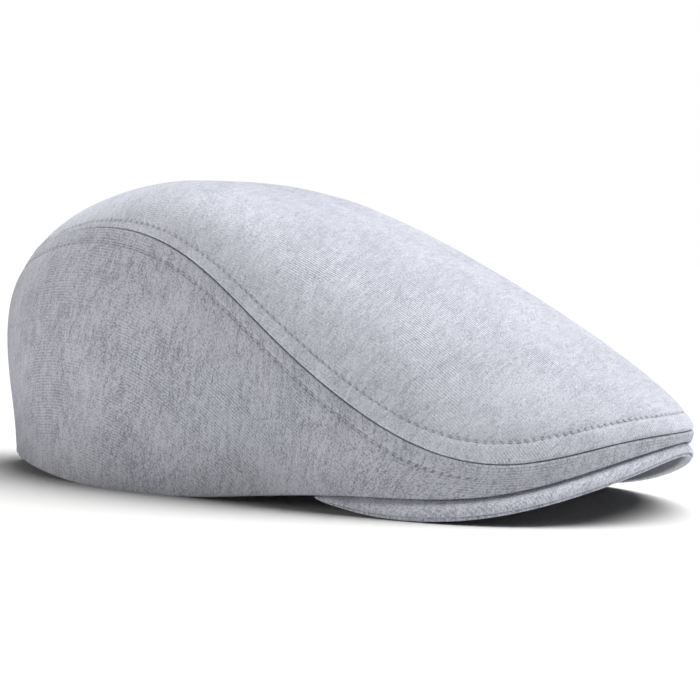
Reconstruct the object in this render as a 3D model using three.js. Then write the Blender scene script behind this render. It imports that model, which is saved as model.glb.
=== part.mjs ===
// A soft flat cap in brushed jersey, in millimetres. +Z is up, the peak points to -Y and the wearer's
// left is +X. A long top panel runs from the back down over the peak. Two side panels are sewn to it
// and to each other, at the middle of the back and of the front. The stiff, arched peak has an upper
// and an under cover. The cap rests on its hem behind the temples and on the peak's two low points.
import * as THREE from "three";

// Crown
const CROWN_LENGTH = 267; // its bottom edge, from front to back
const CROWN_WIDTH = 181; // its bottom edge, from side to side
const CROWN_HEIGHT = 114; // above the surface that the cap rests on

// Cloth and sewing
const CLOTH = 1.6; // one layer of brushed jersey
const TURNED_CLOTH = 2.8; // the same cloth turned under at a seam or a hem
const SEAM_ALLOWANCE = 8; // width of the cloth turned under beside a seam
const HEM_DEPTH = 12; // height of the hem inside the bottom edge
const TURN_STEP = 1.2; // run of the step from turned to single cloth
const EDGE_ROLL = 0.9; // radius of a sewn or hemmed edge
const PANEL_GAP = 0.3; // between the two panels of a seam
const TURNED_SHARE = 0.45; // most of a side panel's height that its seam or its hem may take

// Peak and head opening
const PEAK_LIP = 5; // how far the peak stands out beyond the crown
const UPPER_COVER = 2.9; // thickness, with the board
const UNDER_COVER = 1.6; // thickness
const COVER_GAP = 0.3; // between the two covers
const PEAK_GAP = 0.35; // between the crown's bottom edge and the peak
const PEAK_ROLL = 1.2; // radius of the peak's outer edge
const BROW_HEIGHT = 38; // top of the peak above the middle of the forehead
const TIP_WIDTH = 6; // of the peak, where it ends at the temples
const HEAD_LENGTH = 200; // the head opening, from the peak to the inside of the back

// The seam between the top and the side panels, from the middle of the front round one side to the
// middle of the back. x and y are shares of half the crown's width and length, z of its height, and
// slope is how steeply the cloth falls there, in degrees. crown and shoulder are the shares of the
// run from the top of the crown over which the top panel stays level, and keeps the seam's slope.
const SEAM = [
  { at: "front", x: 0, y: -1.01, z: 0.232, slope: 84, crown: 0.3, shoulder: 0.09 },
  { at: "front quarter", x: 0.44, y: -0.91, z: 0.205, slope: 78, crown: 0.4, shoulder: 0.1 },
  { at: "front corner", x: 0.82, y: -0.7, z: 0.141, slope: 70, crown: 0.47, shoulder: 0.2 },
  { at: "temple", x: 0.99, y: -0.42, z: 0.212, slope: 74, crown: 0.49, shoulder: 0.31 },
  { at: "side", x: 1.01, y: -0.08, z: 0.487, slope: 75, crown: 0.5, shoulder: 0.36 },
  { at: "rear side", x: 0.9, y: 0.26, z: 0.77, slope: 69, crown: 0.49, shoulder: 0.33 },
  { at: "rear quarter", x: 0.62, y: 0.68, z: 0.81, slope: 55, crown: 0.47, shoulder: 0.3 },
  { at: "back", x: 0, y: 1.02, z: 0.673, slope: 57, crown: 0.47, shoulder: 0.32 },
];
const TOP_Y = 0.36; // the crown's highest point, as a share of half its length
const SIDE_HANDLE = 0.38; // share of its height over which a side panel keeps its end slopes

// The crown's bottom edge, at the same stations. onPeak is the share of the peak's thickness that
// lies under it.
const BOTTOM = [
  { at: "front", x: 0, y: -1, z: 0.193, slope: 97, onPeak: 1 },
  { at: "front quarter", x: 0.46, y: -0.91, z: 0.143, slope: 97, onPeak: 1 },
  { at: "front corner", x: 0.87, y: -0.67, z: 0.043, slope: 96, onPeak: 1 },
  { at: "temple", x: 1, y: -0.35, z: 0.014, slope: 98, onPeak: 1 },
  { at: "side", x: 0.97, y: -0.04, z: 0.006, slope: 100, onPeak: 0.5 },
  { at: "rear side", x: 0.91, y: 0.36, z: -0.012, slope: 99, onPeak: 0 },
  { at: "rear quarter", x: 0.66, y: 0.76, z: 0.022, slope: 97, onPeak: 0 },
  { at: "back", x: 0, y: 1, z: 0.045, slope: 94, onPeak: 0 },
];

// The peak at the same stations. lip and thickness are shares of the sizes above, and slope is how
// steeply the peak falls towards its edge, in degrees.
const PEAK = [
  { at: "front", lip: 0, thickness: 1, slope: 20 },
  { at: "front quarter", lip: 0.6, thickness: 1, slope: 16 },
  { at: "front corner", lip: 0.95, thickness: 1, slope: 14 },
  { at: "temple", lip: 0.85, thickness: 1, slope: 17 },
  { at: "side", lip: -0.9, thickness: 0.25, slope: 17 },
];
const TIP_SHARE = 0.6; // share of the way from the temple to the side that the peak's tips reach
const PEAK_ARCH = 0.45; // share of its depth over which the peak keeps its edge's slope

// Fineness of the mesh
const STEPS = 5; // between two rows of a table
const TOP_RINGS = [0.2, 0.4, 0.6, 0.8, 0.93]; // shares of the way to the turned cloth
const SIDE_RINGS = [0.25, 0.5, 0.75]; // shares of the way between two edges' turned cloth
const PEAK_RINGS = [1, 0.7, 0.4, 0.15]; // shares of the way from the crown's edge to the forehead

const UP = new THREE.Vector3(0, 0, 1);
const BACK = SEAM.length - 1; // the last station of the crown
const TIP_STATION = PEAK.length - 2 + TIP_SHARE;
const PEAK_STACK = PEAK_GAP + UPPER_COVER + COVER_GAP + UNDER_COVER;

// A smooth curve through a column of a table, as a function of the station. The table is mirrored at
// both ends: an odd column, such as x, changes its sign there.
function smoothColumn(values, odd) {
  const last = values.length - 1;
  const mirrored = (list, i) => {
    const sign = odd ? -1 : 1;
    if (i < 0) return sign * list[-i];
    return i > last ? sign * list[2 * last - i] : list[i];
  };
  const control = values.slice();
  for (let pass = 0; pass < 40; pass++)
    for (let i = odd ? 1 : 0; i <= (odd ? last - 1 : last); i++)
      control[i] = (6 * values[i] - mirrored(control, i - 1) - mirrored(control, i + 1)) / 4;
  return (s) => {
    const i = Math.min(Math.max(Math.floor(s), 0), last - 1);
    const t = s - i;
    const weights = [
      (1 - t) ** 3,
      3 * t ** 3 - 6 * t ** 2 + 4,
      -3 * t ** 3 + 3 * t ** 2 + 3 * t + 1,
      t ** 3,
    ];
    return weights.reduce((sum, weight, k) => sum + (weight * mirrored(control, i - 1 + k)) / 6, 0);
  };
}

function smoothTable(table) {
  const keys = Object.keys(table[0]).filter((key) => key !== "at");
  return Object.fromEntries(
    keys.map((key) => [key, smoothColumn(table.map((row) => row[key]), key === "x")]),
  );
}

const seam = smoothTable(SEAM);
const bottom = smoothTable(BOTTOM);
const peak = smoothTable(PEAK);
const top = new THREE.Vector3(0, (TOP_Y * CROWN_LENGTH) / 2, CROWN_HEIGHT);

// A point of the seam or of the bottom edge at station s
function linePoint(line, s) {
  return new THREE.Vector3(
    (line.x(s) * CROWN_WIDTH) / 2,
    (line.y(s) * CROWN_LENGTH) / 2,
    line.z(s) * CROWN_HEIGHT + bottom.onPeak(s) * PEAK_STACK,
  );
}

// A unit direction that falls from a level one by an angle in degrees
function falling(level, degrees) {
  const angle = THREE.MathUtils.degToRad(degrees);
  return level.clone().multiplyScalar(Math.cos(angle)).addScaledVector(UP, -Math.sin(angle));
}

function levelFromTo(from, to) {
  return to.clone().sub(from).setZ(0).normalize();
}

// The top panel's outer face at station s, from the top of the crown down to the seam
function topCurve(s) {
  const end = linePoint(seam, s);
  const outward = levelFromTo(top, end);
  const run = Math.hypot(end.x - top.x, end.y - top.y);
  return new THREE.CubicBezierCurve3(
    top,
    top.clone().addScaledVector(outward, seam.crown(s) * run),
    end.clone().addScaledVector(falling(outward, seam.slope(s)), -seam.shoulder(s) * end.distanceTo(top)),
    end,
  );
}

// A side panel's outer face at station s, from the seam down to the bottom edge
function sideCurve(s) {
  const start = linePoint(seam, s);
  const end = linePoint(bottom, s);
  const outward = levelFromTo(top, start);
  const handle = SIDE_HANDLE * start.distanceTo(end);
  return new THREE.CubicBezierCurve3(
    start,
    start.clone().addScaledVector(falling(outward, seam.slope(s)), handle),
    end.clone().addScaledVector(falling(outward, bottom.slope(s)), -handle),
    end,
  );
}

// One curve of the crown's outer face, with points and outward normals at distances along it
class FaceCurve {
  constructor(curveAt, s) {
    const near = 0.01;
    this.curve = curveAt(s);
    this.before = curveAt(s - near);
    this.after = curveAt(s + near);
    this.length = this.curve.getLength();
  }

  pointAt(distance) {
    return this.curve.getPointAt(distance / this.length);
  }

  normalAt(distance) {
    const share = distance / this.length;
    const along = this.after.getPointAt(share).sub(this.before.getPointAt(share));
    return this.curve.getTangentAt(share).cross(along).normalize();
  }
}

// How far a rounded edge lies below the face, at an inset from that edge
function rollDrop(inset, radius) {
  const left = Math.max(1 - inset / radius, 0);
  return radius * (1 - Math.sqrt(1 - left ** 2));
}

// Steps inwards from an edge whose cloth is turned under by a depth. turned is 1 where the cloth is
// turned, and a piece too narrow for the depth has it cut to fit its room.
function edgeSteps(depth, room) {
  const fit = Math.min(1, room / (depth + TURN_STEP));
  return [
    { inset: 0, turned: 1 },
    { inset: EDGE_ROLL, turned: 1 },
    { inset: fit * depth, turned: 1 },
    { inset: fit * (depth + TURN_STEP), turned: 1 - fit },
  ];
}

// The points outside and inside the cloth at a step along a face. A hem is rounded on both sides.
function clothPair(face, { distance, inset, turned, hem = false }) {
  const point = face.pointAt(distance);
  const normal = face.normalAt(distance);
  const drop = rollDrop(inset, EDGE_ROLL);
  const thickness = THREE.MathUtils.lerp(CLOTH, TURNED_CLOTH, turned);
  return [
    point.clone().addScaledVector(normal, -drop),
    point.clone().addScaledVector(normal, (hem ? drop : 0) - thickness),
  ];
}

// Pairs of the top panel at station s, from the top of the crown to the seam
function topSection(s) {
  const face = new FaceCurve(topCurve, s);
  const edge = edgeSteps(SEAM_ALLOWANCE, face.length / 2)
    .map((step) => ({ ...step, distance: face.length - PANEL_GAP / 2 - step.inset }))
    .reverse();
  const open = TOP_RINGS.map((share) => ({
    distance: share * edge[0].distance,
    inset: EDGE_ROLL,
    turned: 0,
  }));
  return [
    [top, top.clone().addScaledVector(UP, -CLOTH)],
    ...[...open, ...edge].map((step) => clothPair(face, step)),
  ];
}

// Pairs of a side panel at station s, from the seam to the bottom edge. end is the step inwards from
// the seam at the middle of the front or of the back.
function sideSection(s, end) {
  const face = new FaceCurve(sideCurve, s);
  const room = TURNED_SHARE * face.length;
  const above = edgeSteps(SEAM_ALLOWANCE, room).map((step) => ({
    ...step,
    distance: PANEL_GAP / 2 + step.inset,
  }));
  const below = edgeSteps(HEM_DEPTH, room)
    .map((step) => ({ ...step, distance: face.length - step.inset, hem: true }))
    .reverse();
  const from = above.at(-1);
  const to = below[0];
  const between = SIDE_RINGS.map((share) => ({
    distance: THREE.MathUtils.lerp(from.distance, to.distance, share),
    inset: EDGE_ROLL,
    turned: Math.max(from.turned, to.turned),
  }));
  return [...above, ...between, ...below].map((step) => {
    const inset = Math.min(step.inset, end.inset);
    const turned = Math.max(step.turned, end.turned);
    return clothPair(face, { ...step, inset, turned }).map(
      (point) => new THREE.Vector3(Math.max(point.x, PANEL_GAP / 2), point.y, Math.max(point.z, 0)),
    );
  });
}

// Stations along a side panel, closer together beside its two short seams
function sideStations() {
  const near = 0.1;
  const ends = [0, BACK].map((station) => {
    const inwards = station === 0 ? 1 : -1;
    const width = (Math.abs(seam.x(station + near * inwards)) * CROWN_WIDTH) / 2;
    return edgeSteps(SEAM_ALLOWANCE, Infinity).map((step) => ({
      s: station + (inwards * (PANEL_GAP / 2 + step.inset) * near) / width,
      end: step,
    }));
  });
  const [front, back] = [ends[0], ends[1].reverse()];
  const plain = [];
  for (let k = 1; k < BACK * STEPS; k++)
    if (k / STEPS > front.at(-1).s + near / 2 && k / STEPS < back[0].s - near / 2)
      plain.push({ s: k / STEPS, end: { inset: EDGE_ROLL, turned: 0 } });
  return [...front, ...plain, ...back];
}

// The inner corner of the crown's bottom edge at station s
function hemCorner(s) {
  const face = new FaceCurve(sideCurve, s);
  return clothPair(face, { distance: face.length, inset: EDGE_ROLL, turned: 1 })[1];
}

// Where the peak's top meets the line of the head opening, a quarter ellipse from the brow to a tip
function headPoint(s) {
  const corner = hemCorner(TIP_STATION);
  const tipRise = TIP_WIDTH * Math.tan(THREE.MathUtils.degToRad(peak.slope(TIP_STATION)));
  const tip = new THREE.Vector3(corner.x - TIP_WIDTH, corner.y, corner.z - PEAK_GAP + tipRise);
  const browY = hemCorner(BACK).y - HEAD_LENGTH;
  const angle = (s / TIP_STATION) * (Math.PI / 2);
  return new THREE.Vector3(
    tip.x * Math.sin(angle),
    THREE.MathUtils.lerp(tip.y, browY, Math.cos(angle)),
    THREE.MathUtils.lerp(tip.z, BROW_HEIGHT, Math.cos(angle)),
  );
}

// Points over the peak at station s, from the forehead to its outer edge, each with its inset from
// that edge. The top passes just below the crown's bottom edge, and falls straight on to the lip.
function peakTop(s) {
  const corner = hemCorner(s);
  const seat = corner.clone().addScaledVector(UP, -PEAK_GAP);
  const head = headPoint(s);
  const slope = peak.slope(s);
  const climb = falling(levelFromTo(seat, head), -slope);
  const depth = Math.hypot(head.x - seat.x, head.y - seat.y);
  const reach = PEAK_LIP * peak.lip(s) + corner.distanceTo(linePoint(bottom, s));
  const body = new THREE.QuadraticBezierCurve3(
    seat,
    seat.clone().addScaledVector(climb, PEAK_ARCH * depth),
    head,
  );
  const roll = Math.min(PEAK_ROLL, reach / 2);
  return [
    ...PEAK_RINGS.map((share) => ({ point: body.getPoint(share), inset: PEAK_ROLL })),
    ...[reach, roll, 0].map((inset) => ({
      point: seat.clone().addScaledVector(climb, inset - reach),
      inset: inset === roll ? PEAK_ROLL : inset,
    })),
  ];
}

// Pairs of the two covers of the peak at station s
function upperSection(s) {
  return peakTop(s).map(({ point, inset }) => [
    point.clone().addScaledVector(UP, -rollDrop(inset, PEAK_ROLL)),
    point.clone().addScaledVector(UP, -UPPER_COVER * peak.thickness(s)),
  ]);
}

function underSection(s) {
  const thickness = UNDER_COVER * peak.thickness(s);
  return peakTop(s).map(({ point, inset }) => {
    const above = point.clone().addScaledVector(UP, -UPPER_COVER * peak.thickness(s) - COVER_GAP);
    const below = above.clone().addScaledVector(UP, rollDrop(inset, thickness / 2) - thickness);
    return [above, below.setZ(Math.max(below.z, 0))];
  });
}

function mirrored(section) {
  return section.map((pair) => pair.map((point) => new THREE.Vector3(-point.x, point.y, point.z)));
}

// Sections from one side to the other, through the middle of the front
function bothSides(sectionAt, last) {
  const sections = [];
  for (let k = 0; k <= last * STEPS; k++) sections.push(sectionAt(k / STEPS));
  return [...sections.slice(1).reverse().map(mirrored), ...sections];
}

// A closed solid lofted through sections of outer and inner points. A ring of sections has the last
// one equal to the first. Both faces are split along the same diagonals.
function loft(sections, ring = false) {
  const positions = [];
  const addTriangle = (...corners) => {
    const [a, b, c] = corners;
    if (a.equals(b) || b.equals(c) || c.equals(a)) return;
    for (const corner of corners) positions.push(corner.x, corner.y, corner.z);
  };
  const addQuad = (a, b, c, d) => {
    addTriangle(a, b, c);
    addTriangle(a, c, d);
  };
  const outlines = sections.map((pairs) => [
    ...pairs.map((pair) => pair[0]),
    ...pairs.map((pair) => pair[1]).reverse(),
  ]);
  for (let i = 1; i < outlines.length; i++) {
    const [here, next] = [outlines[i - 1], outlines[i]];
    for (let k = 0; k < here.length; k++) {
      const l = (k + 1) % here.length;
      if (k < here.length / 2) addQuad(here[k], here[l], next[l], next[k]);
      else addQuad(here[l], next[l], next[k], here[k]);
    }
  }
  if (!ring) {
    const [first, last] = [sections[0], sections.at(-1)];
    for (let k = 1; k < first.length; k++) {
      addQuad(first[k - 1][0], first[k - 1][1], first[k][1], first[k][0]);
      addQuad(last[k][0], last[k][1], last[k - 1][1], last[k - 1][0]);
    }
  }
  const geometry = new THREE.BufferGeometry();
  geometry.setAttribute("position", new THREE.Float32BufferAttribute(positions, 3));
  geometry.computeVertexNormals();
  return geometry;
}

function piece(name, geometry, color) {
  const material = new THREE.MeshStandardMaterial({ color, roughness: 0.95, metalness: 0 });
  const mesh = new THREE.Mesh(geometry, material);
  mesh.name = name;
  return mesh;
}

const HEATHER_GREY = 0xb9bdc6;
const SHADED_GREY = 0xaeb2bb; // the under cover, a little darker to tell the two covers apart

const crownSections = bothSides(topSection, BACK);
const sideGeometry = loft(sideStations().map(({ s, end }) => sideSection(s, end)));
const rightSide = piece("side_panel_right", sideGeometry, HEATHER_GREY);
rightSide.scale.x = -1;

const pieces = new THREE.Group();
pieces.add(
  piece("top_panel", loft(crownSections, true), HEATHER_GREY),
  piece("side_panel_left", sideGeometry, HEATHER_GREY),
  rightSide,
  piece("peak_upper", loft(bothSides(upperSection, TIP_STATION)), HEATHER_GREY),
  piece("peak_underside", loft(bothSides(underSection, TIP_STATION)), SHADED_GREY),
);

// The origin is the middle of the cap's length and width, on the surface that it rests on
const box = new THREE.Box3().setFromObject(pieces);
pieces.position.set(0, -(box.min.y + box.max.y) / 2, -box.min.z);

const flatCap = new THREE.Group();
flatCap.add(pieces);

export default flatCap;
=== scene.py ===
"""A soft flat cap in brushed heather jersey, standing on a pale floor.

The long top panel, the two side panels and the two covers of the peak are cloth shells with rolled
edges. Their outlines come from short tables of shares, mirrored from side to side. Rows of stitches
run beside the crown's seam and along its hem.
"""

import math
from functools import partial

import bpy
import numpy as np
from bpy.props import FloatProperty, FloatVectorProperty, IntProperty, PointerProperty
from mathutils import Matrix, Vector
from mathutils.noise import noise


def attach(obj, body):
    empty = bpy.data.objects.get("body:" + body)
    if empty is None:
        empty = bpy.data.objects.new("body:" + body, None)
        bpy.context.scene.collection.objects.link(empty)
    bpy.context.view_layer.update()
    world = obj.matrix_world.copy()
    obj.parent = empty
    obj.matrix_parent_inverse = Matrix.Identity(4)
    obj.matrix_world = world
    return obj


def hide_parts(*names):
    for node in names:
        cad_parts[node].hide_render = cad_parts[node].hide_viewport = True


bl_info = {
    "name": "Flat cap",
    "version": (1, 0, 0),
    "blender": (4, 5, 0),
    "location": "View3D > Sidebar > Flat cap",
    "description": "Builds a soft flat cap in brushed jersey on a pale floor",
    "category": "Add Mesh",
}

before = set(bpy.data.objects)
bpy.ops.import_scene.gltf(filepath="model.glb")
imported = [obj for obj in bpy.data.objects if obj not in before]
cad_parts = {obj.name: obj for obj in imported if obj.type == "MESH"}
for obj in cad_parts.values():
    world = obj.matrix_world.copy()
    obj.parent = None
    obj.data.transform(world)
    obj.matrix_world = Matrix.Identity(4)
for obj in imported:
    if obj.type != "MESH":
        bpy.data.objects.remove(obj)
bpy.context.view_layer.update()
MM = 0.001
UP = np.array([0.0, 0.0, 1.0])

# The seam between the top and the side panels, from the middle of the front round one side to the
# middle of the back. x and y are shares of half the crown's width and length, z of its height, and
# slope is how steeply the cloth falls there, in degrees. crown and shoulder are the shares of the
# run from the top of the crown over which the top panel stays level, and keeps the seam's slope.
# row is the share of its full inset at which the top row of stitches runs.
SEAM_COLUMNS = ("x", "y", "z", "slope", "crown", "shoulder", "row")
SEAM = {
    "front": (0, -1.01, 0.232, 84, 0.3, 0.09, 1),
    "front quarter": (0.44, -0.91, 0.205, 78, 0.4, 0.1, 1),
    "front corner": (0.82, -0.7, 0.141, 70, 0.47, 0.2, 1),
    "temple": (0.99, -0.42, 0.212, 74, 0.49, 0.31, 1),
    "side": (1.01, -0.08, 0.487, 75, 0.5, 0.36, 1),
    "rear side": (0.9, 0.26, 0.77, 69, 0.49, 0.33, 0.62),
    "rear quarter": (0.62, 0.68, 0.81, 55, 0.47, 0.3, 0.3),
    "back": (0, 1.02, 0.673, 57, 0.47, 0.32, 0.3),
}

# The crown's bottom edge, at the same stations. on_peak is the share of the peak's thickness that
# lies under it.
BOTTOM_COLUMNS = ("x", "y", "z", "slope", "on_peak")
BOTTOM = {
    "front": (0, -1, 0.193, 97, 1),
    "front quarter": (0.46, -0.91, 0.143, 97, 1),
    "front corner": (0.87, -0.67, 0.043, 96, 1),
    "temple": (1, -0.35, 0.014, 98, 1),
    "side": (0.97, -0.04, 0.006, 100, 0.5),
    "rear side": (0.91, 0.36, -0.012, 99, 0),
    "rear quarter": (0.66, 0.76, 0.022, 97, 0),
    "back": (0, 1, 0.045, 94, 0),
}

# The peak at the same stations. lip and thickness are shares of its named sizes, and slope is how
# steeply it falls towards its edge, in degrees.
PEAK_COLUMNS = ("lip", "thickness", "slope")
PEAK = {
    "front": (0, 1, 20),
    "front quarter": (0.6, 1, 16),
    "front corner": (0.95, 1, 14),
    "temple": (0.85, 1, 17),
    "side": (-0.9, 0.25, 17),
}
TOP_Y = 0.36  # the crown's highest point, as a share of half its length
SIDE_HANDLE = 0.38  # share of its height over which a side panel keeps its end slopes
TIP_SHARE = 0.5  # share of the way from the temple to the side that the peak's tips reach
PEAK_ARCH = 0.45  # share of its depth over which the peak keeps its edge's slope
TIP_TAPER = 0.6  # run of stations over which the peak thins out to its tips
BACK = len(SEAM) - 1  # the last station of the crown
TIP = len(PEAK) - 2 + TIP_SHARE  # the station where the peak ends
CROWN_STEPS = 26  # columns of cloth between two stations
PEAK_STEPS = 30

# Insets of the rows of cloth beside a rolled edge, in millimetres
EDGE_ROWS = (0, 0.07, 0.22, 0.45, 0.75, 1.1, 1.6, 2.3, 3.1, 3.9, 4.5, 5.0, 5.5, 6.0, 6.6, 7.2, 7.7)
SEAM_ROWS = (*EDGE_ROWS, 8.2, 8.8, 9.5, 10.5, 12, 14)
HEM_ROWS = (0, 0.07, 0.22, 0.45, 0.75, 1.1, 1.6, 2.0, 2.4, 2.8, 3.3, 4, 5, 7, 9, 11, 12, 13.2)
END_COLUMNS = (0, 0.07, 0.22, 0.45, 0.75, 1.1, 1.8, 3, 5, 8, 9.2)
PEAK_EDGE_ROWS = (0, 0.04, 0.1, 0.2, 0.35, 0.55, 0.8, 1.1, 1.45, 1.85, 2.3, 2.8, 3.2)

# Rows over the rest of the top panel, as shares of the way there from the top of the crown
OPEN_ROWS = (0, *np.linspace(0.04, 0.76, 19), 0.82, 0.88, 0.93, 0.97, 1)
PLAIN_ROWS = 24  # rows of a side panel between those beside its seam and its hem
PEAK_ROWS = 26  # rows of the peak inside those beside its edge
EDGE_SHARE = 0.47  # most of a side panel's height that the rows beside one of its edges take
LIP_ROOM = 1.3  # reach of the lip below which the peak's edge rows close up, as a share of theirs
NARROW = 40 * MM  # a side panel narrower than this is mostly turned cloth

# Noise of the cloth's swelling: waves in a metre, share of the height and place of the noise
SWELLS = ((24, 0.75, (0, 0, 0)), (62, 0.45, (3, 1, 2)))
SWELL_ROOM = 22 * MM  # distance from an edge where the cloth swells in full
PUCKER_WAVES = 115  # puckers beside a seam: waves in a metre
PUCKER_HEIGHT = 0.32 * MM
GATHER_RUN = 9 * MM  # height over which a gather fades out above the hem

TOP_GROOVE = 1.3 * MM  # reach of the groove along a row of stitches
SIDE_GROOVE = 1.2 * MM
HEM_SINK = 0.3  # depth of the hem's groove, as a share of the others'
GROOVE_START, GROOVE_RUN = 2.2, 0.5  # stations over which a side row's groove sets in
SIDE_ROW_START = 2.5  # station of its first stitch
STITCH_SKEW = 0.09  # most that a stitch turns out of its row, in radians

# What the stitches' node group is given
STITCH_INPUTS = {
    "Line": "Geometry",
    "Pitch": "Float",
    "Stitch Length": "Float",
    "Thread Radius": "Float",
    "Seed": "Int",
    "Material": "Material",
}

# Yarns of the jersey, as noise on the cloth map: waves in a metre along and across the ribs,
# roughness and bend of the noise, and how much the yarn colours and lifts the cloth
YARNS = {
    "slubs": (480, 130, 0.55, 0.3, 0.6, 0.7),
    "dashes": (1350, 700, 0.6, 0, 0.8, 0.6),
    "fibres": (1300, 1900, 0.7, 0, 1.25, 0.8),
}
RIB_BEND = 3.0  # how far the slubs bend the ribs, in radians
MIX_START = -0.08  # added to the mixed yarns
MIX_MIDDLE = 1.36  # their level halfway from the dark yarn to the light one
MIX_REACH = 0.42  # and from there to either yarn, at a contrast of 1

SIDE_PAINTED_SHADE = 0.79  # painted shade: colour of the side panels as a share of the jersey's, darker than the top panel's
UNDER_PAINTED_SHADE = 0.2  # painted shade: colour of the under cover away from its edge, as a share of the jersey's, for the shade under the peak
OVERHEAD = (0.46, -0.26, 1)  # direction from the cap to the overhead light
BESIDE = (-1.0, 0.8, 0.1)  # place of the side light
BESIDE_SIZE = 0.8  # its diameter, in metres
LIT = (-0.06, 0.06, 0.04)  # the point that it shines at
WARM = (1, 0.98, 0.93)  # and its colour
FLOOR_REACH = 6.0  # from the middle of the floor to its sides, in metres

# Small folds beside the hem, left by its gathered thread: where each lies, from the rear quarter
# to the middle of the back, its height in millimetres and its width as a share of a station.
GATHERS = {
    "outer": (6.30, 0.35, 0.07),
    "second": (6.47, 0.55, 0.06),
    "third": (6.62, 0.7, 0.055),
    "fourth": (6.76, 0.65, 0.05),
    "inner": (6.9, 0.5, 0.05),
}


def smooth_column(values, odd):
    """A smooth curve through a column of a table, which is mirrored at both ends."""
    last = len(values) - 1
    sign = -1 if odd else 1
    control = [float(value) for value in values]

    def with_ends():
        return [sign * control[1], *control, sign * control[-2]]

    for _ in range(40):
        for i in range(last + 1):
            if not (odd and i in (0, last)):
                around = with_ends()
                control[i] = (6 * values[i] - around[i] - around[i + 2]) / 4
    fixed = np.array(with_ends())

    def at(s):
        s = np.asarray(s, float)
        i = np.clip(np.floor(s).astype(int), 0, last - 1)
        t = s - i
        weights = (
            (1 - t) ** 3,
            3 * t**3 - 6 * t**2 + 4,
            -3 * t**3 + 3 * t**2 + 3 * t + 1,
            t**3,
        )
        return sum(weight * fixed[i + k] for k, weight in enumerate(weights)) / 6

    return at


def smooth_table(columns, table):
    rows = list(table.values())
    return {
        name: smooth_column([row[k] for row in rows], name == "x")
        for k, name in enumerate(columns)
    }


seam = smooth_table(SEAM_COLUMNS, SEAM)
bottom = smooth_table(BOTTOM_COLUMNS, BOTTOM)
peak = smooth_table(PEAK_COLUMNS, PEAK)


def length_property(name, description, default):
    return FloatProperty(
        name=name, description=description, default=default * MM, precision=5, unit="LENGTH"
    )


def angle_property(name, description, degrees):
    return FloatProperty(
        name=name, description=description, default=math.radians(degrees), subtype="ANGLE"
    )


def colour_property(name, description, default):
    return FloatVectorProperty(name=name, description=description, default=default, subtype="COLOR")


class CrownSizes(bpy.types.PropertyGroup):
    """Sizes of the crown and of its cloth"""

    length: length_property("Length", "Bottom edge, from front to back", 267)
    width: length_property("Width", "Bottom edge, from side to side", 181)
    height: length_property("Height", "Top of the crown above the floor", 114)
    cloth: length_property("Cloth", "Thickness of one layer of jersey", 1.6)
    turned: length_property("Turned cloth", "Thickness where the cloth is turned under", 2.8)
    allowance: length_property("Seam allowance", "Cloth turned under beside a seam", 8)
    hem: length_property("Hem", "Height of the hem inside the bottom edge", 12)
    turn_step: length_property("Turn step", "Run of the step from turned to single cloth", 1.2)
    middle: length_property("Middle", "The crown's middle, from the middle of the cap", -3.87)
    roll: length_property("Seam roll", "Radius of a sewn edge", 1.0)
    hem_roll: length_property("Hem roll", "Radius of the hem's edge", 1.3)
    gap: length_property("Panel gap", "Between the two panels of a seam", 0.3)
    join: length_property("Centre gap", "Between the side panels at their centre seams", 0.04)
    swell: length_property("Swell", "How far the soft cloth swells and dips", 0.45)


class PeakSizes(bpy.types.PropertyGroup):
    """Sizes of the peak and of the head opening"""

    lip: length_property("Lip", "How far the peak stands out beyond the crown", 5)
    upper: length_property("Upper cover", "Thickness of the upper cover with the board", 2.9)
    under: length_property("Under cover", "Thickness of the under cover", 1.6)
    cover_gap: length_property("Cover gap", "Between the two covers", 0.3)
    crown_gap: length_property("Crown gap", "Between the crown's bottom edge and the peak", 0.35)
    roll: length_property("Edge roll", "Radius of the upper cover's outer edge", 2.2)
    tuck: length_property("Tuck", "Radius of the two covers' edges where they are sewn", 0.6)
    set_back: length_property("Set back", "Under cover's edge, from the upper cover's", 0.7)
    edge: length_property("Sewn edge", "Thickness of the under cover's sewn edge", 0.12)
    bottom_roll: length_property("Bottom roll", "Run of the under cover's rounded edge", 3)
    brow: length_property("Brow height", "Top of the peak above the middle of the forehead", 38)
    tip: length_property("Tip width", "Width of the peak where it ends at the temples", 6)
    head: length_property("Head length", "Head opening, from the peak to the back", 200)


class SewingSizes(bpy.types.PropertyGroup):
    """Sizes of the rows of stitches"""

    top_inset: length_property("Top row", "From the seam to the row on the top panel", 7.7)
    side_inset: length_property("Side row", "From the seam to the row on a side panel", 6.3)
    hem_inset: length_property("Hem row", "From the bottom edge to the hem's row", 2.4)
    pitch: length_property("Pitch", "From one stitch to the next", 3.1)
    stitch: length_property("Stitch", "Length of a stitch that shows", 2.5)
    thread: length_property("Thread", "Radius of the sewing thread", 0.2)
    sink: length_property("Sink", "How deep a row of stitches pulls the cloth in", 0.4)
    seed: IntProperty(name="Seed", description="Seed of the stitches' small turns", default=7)


class JerseyLook(bpy.types.PropertyGroup):
    """Colours and scale of the brushed heather jersey"""

    light: colour_property("Light yarn", "Colour of the pale fibres", (0.78, 0.795, 0.89))
    dark: colour_property("Dark yarn", "Colour of the grey fibres", (0.37, 0.38, 0.44))
    thread: colour_property("Thread", "Colour of the sewing thread", (0.56, 0.57, 0.63))
    rib: length_property("Rib", "From one rib of the knit to the next", 1.1)


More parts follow.
